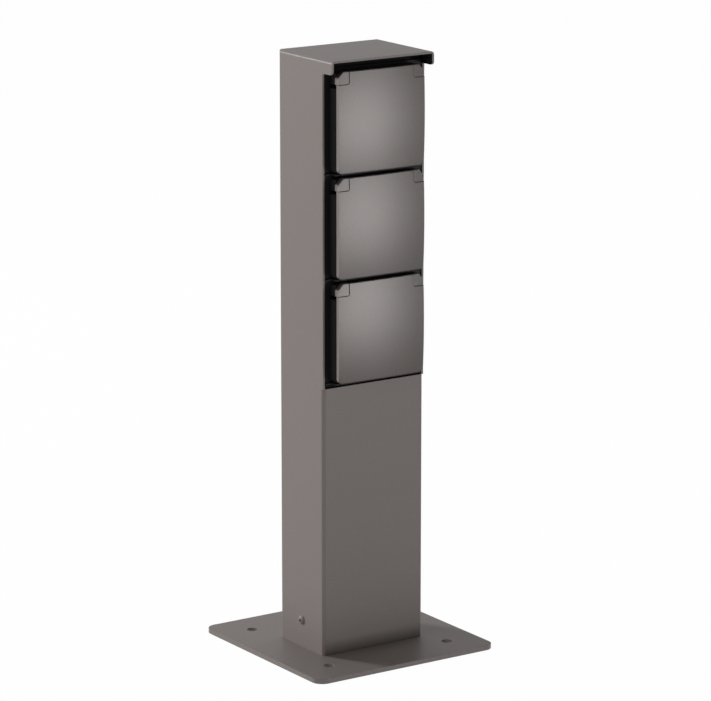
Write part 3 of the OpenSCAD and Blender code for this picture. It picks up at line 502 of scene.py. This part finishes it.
edge_x, edge_z = ear_x - ear_gap, ear_z - ear_gap
notch_r = ear_r + ear_gap
side_r, top_r = 0.4, 0.6
long_step, short_step = 1.0, 0.7
right_half = np.concatenate([
    run((0, 0), (lid_w / 2 - lid_corner, 0), long_step),
    bend((lid_w / 2 - lid_corner, lid_corner), lid_corner, -90, 0),
    run((lid_w / 2, lid_corner), (lid_w / 2, edge_z - side_r), long_step),
    bend((lid_w / 2 - side_r, edge_z - side_r), side_r, 0, 90, 6),
    run((lid_w / 2 - side_r, edge_z), (edge_x + notch_r, edge_z), short_step),
    bend((edge_x + notch_r, edge_z + notch_r), notch_r, 270, 180),
    run((edge_x, edge_z + notch_r), (edge_x, lid_h - top_r), short_step),
    bend((edge_x - top_r, lid_h - top_r), top_r, 0, 90, 6),
    run((edge_x - top_r, lid_h), (0, lid_h), long_step),
    [(0, lid_h)],
])
lid_outline = np.concatenate([right_half, (right_half * (-1, 1))[-2:0:-1]])
lid_centre = np.array([0.0, lid_mid])
front_shares = np.array([
    0.12, 0.25, 0.38, 0.5, 0.6, 0.7, 0.78, 0.84, 0.88, 0.91, 0.93, 0.945, 0.956, 0.965, 0.973,
    0.98, 0.986, 0.991, 0.995, 0.998, 1.0,
])


def lid_face(flat):
    """Depth of a lid's face: its crown, dropped by the rolled edges."""
    x, z = flat[..., 0], flat[..., 1]
    outer = roll(from_outside(x, z), roll_w, roll_h)
    inner = roll(from_notch(x, z), gap_roll, gap_roll)
    return crown(x, z) + np.maximum(outer, inner)


reach = np.linalg.norm(lid_outline - lid_centre, axis=1, keepdims=True)
heading = (lid_outline - lid_centre) / reach
with np.errstate(divide="ignore"):
    across = pocket_half_w / np.abs(heading[:, :1])
    rise = np.where(heading[:, 1:] > 0, pocket_high - lid_mid, pocket_low - lid_mid)
    upright = rise / heading[:, 1:]
pocket = np.minimum(across, upright)
face = spread(lid_outline, lid_centre, front_shares)
rows = [with_depth(face, lid_face(face))]
rim_round = ((0.0, 0.3), (0.09, 0.09), (0.3, 0.0), (0.45, 0.0))
for inset, short in rim_round:
    rows.append(with_depth(lid_centre + (reach - inset) * heading, lid_back - short)[None])
for inset, short in reversed(rim_round):
    rows.append(with_depth(lid_centre + (pocket + inset) * heading, lid_back - short)[None])
for share in (1.0, 0.985, 0.9, 0.7, 0.5, 0.3, 0.12):
    floor_ring = lid_centre + share * pocket * heading
    pocket_depth = crown(floor_ring[:, 0], floor_ring[:, 1]) + lid_wall
    rows.append(with_depth(floor_ring, pocket_depth)[None])
lid_shell = ring_shell(np.concatenate(rows), (0, 0, lid_mid), (0, lid_wall, lid_mid))

hinge_depth, hinge_z = lid_back - 1.0, lid_h - 6.2
knuckle_r = 3.0
knuckle_ends = np.array([3.9, 4.2, 30.7, 31.0])
knuckle_slim = np.array([0.9, 1.0, 1.0, 0.9])
hinge = np.array([hinge_depth, hinge_z])
ridge = bend(hinge, knuckle_r, -110, 110, 24)
section = spread(ridge, hinge, knuckle_slim)
knuckles = []
for side in (-1, 1):
    ends = np.sort(side * knuckle_ends)
    rings = np.stack([ends[:, None] + 0 * section[..., 0], section[..., 0], section[..., 1]], -1)
    knuckles.append(ring_shell(rings, (ends[0], *hinge), (ends[-1], *hinge)))

ear_top_r = 0.3
ear_step = 0.6
ear_outline = np.concatenate([
    bend((ear_x + ear_r, ear_z + ear_r), ear_r, 180, 270),
    run((ear_x + ear_r, ear_z), (lid_w / 2 - side_r, ear_z), ear_step),
    bend((lid_w / 2 - side_r, ear_z + side_r), side_r, -90, 0, 6),
    run((lid_w / 2, ear_z + side_r), (lid_w / 2, lid_h - ear_chamfer), ear_step),
    run((lid_w / 2, lid_h - ear_chamfer), (lid_w / 2 - ear_chamfer, lid_h), ear_step),
    run((lid_w / 2 - ear_chamfer, lid_h), (ear_x + ear_top_r, lid_h), ear_step),
    bend((ear_x + ear_top_r, lid_h - ear_top_r), ear_top_r, 90, 180, 6),
    run((ear_x, lid_h - ear_top_r), (ear_x, ear_z + ear_r), ear_step),
])
ear_centre = np.array([ear_x + ear_w / 2, ear_z + ear_h / 2])
ear_shares = np.array([
    0.25, 0.45, 0.6, 0.7, 0.78, 0.84, 0.885, 0.92, 0.945, 0.965, 0.98, 0.99, 0.997, 1.0,
])
ear_face = spread(ear_outline, ear_centre, ear_shares)
ear_inner = np.minimum(ear_face[..., 0] - ear_x, ear_face[..., 1] - ear_z)
ear_drop = np.maximum(
    roll(from_outside(ear_face[..., 0], ear_face[..., 1]), roll_w, roll_h),
    roll(ear_inner, gap_roll, gap_roll),
)
ear_front = crown(ear_face[..., 0], ear_face[..., 1]) + ear_setback + ear_drop
ear_rows = [with_depth(ear_face, ear_front)]
for share, depth in ((1.0, ear_back - 0.2), (0.985, ear_back)):
    ear_rows.append(with_depth(ear_centre + share * (ear_outline - ear_centre), depth)[None])
ear_middle = with_depth(ear_centre, crown(*ear_centre) + ear_setback)
ear_shell = ring_shell(np.concatenate(ear_rows), ear_middle, with_depth(ear_centre, ear_back))
flipped = [face[::-1] for face in ear_shell[1]]

satin, satin_shader, satin_place = new_finish("satin_lacquer")
satin_grain = satin_place.noise(0.45 * mm, 2.0)
satin_cloud = satin_place.noise(1.8 * mm, 2.0, 5.0)
satin_x = satin_place.node("ShaderNodeSeparateXYZ", {}, {"Vector": satin_place}, "X")
# The side faces of the lids and ears, beyond 42 mm from the middle, are painted much paler than the
# face: painted light, standing in for the light that the face shows as gloss.
edge_from, edge_full = 42.0 * mm, 42.6 * mm
side_light_mask = satin_place.node(
    "ShaderNodeMapRange",
    {},
    {"Value": abs(satin_x), "From Min": edge_from, "From Max": edge_full},
)
satin_dark, satin_pale = (0.053, 0.042, 0.039), (0.078, 0.063, 0.058)
satin_face = (satin_grain * 0.5 + satin_cloud * 0.5).between(satin_dark, satin_pale)
side_painted_light = (0.320, 0.294, 0.281)
set_shader(
    satin_shader,
    Base_Color=side_light_mask.between(satin_face, side_painted_light),
    Roughness=0.25 + satin_grain * 0.06,
    Specular_IOR_Level=0.385,
    Specular_Tint=(1.0, 0.955, 0.935, 1),
    Normal=satin_grain.bump(0.02 * mm, 0.4),
)
for unit in units:
    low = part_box(f"flap_{unit}")[0]
    corner = np.array([0, low.y, low.z]) / mm
    shells = [(points + corner, faces) for points, faces in (lid_shell, *knuckles)]
    lid = shell_piece(f"lid_{unit}", shells, satin)
    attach(lid, f"lid_{unit}")
    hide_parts(f"flap_{unit}")
    right = (ear_shell[0] + corner, ear_shell[1])
    left = (ear_shell[0] * (-1, 1, 1) + corner, flipped)
    ears = shell_piece(f"ears_{unit}", [right, left], satin)
    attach(ears, "post")
    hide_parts(f"hinge_ears_{unit}")
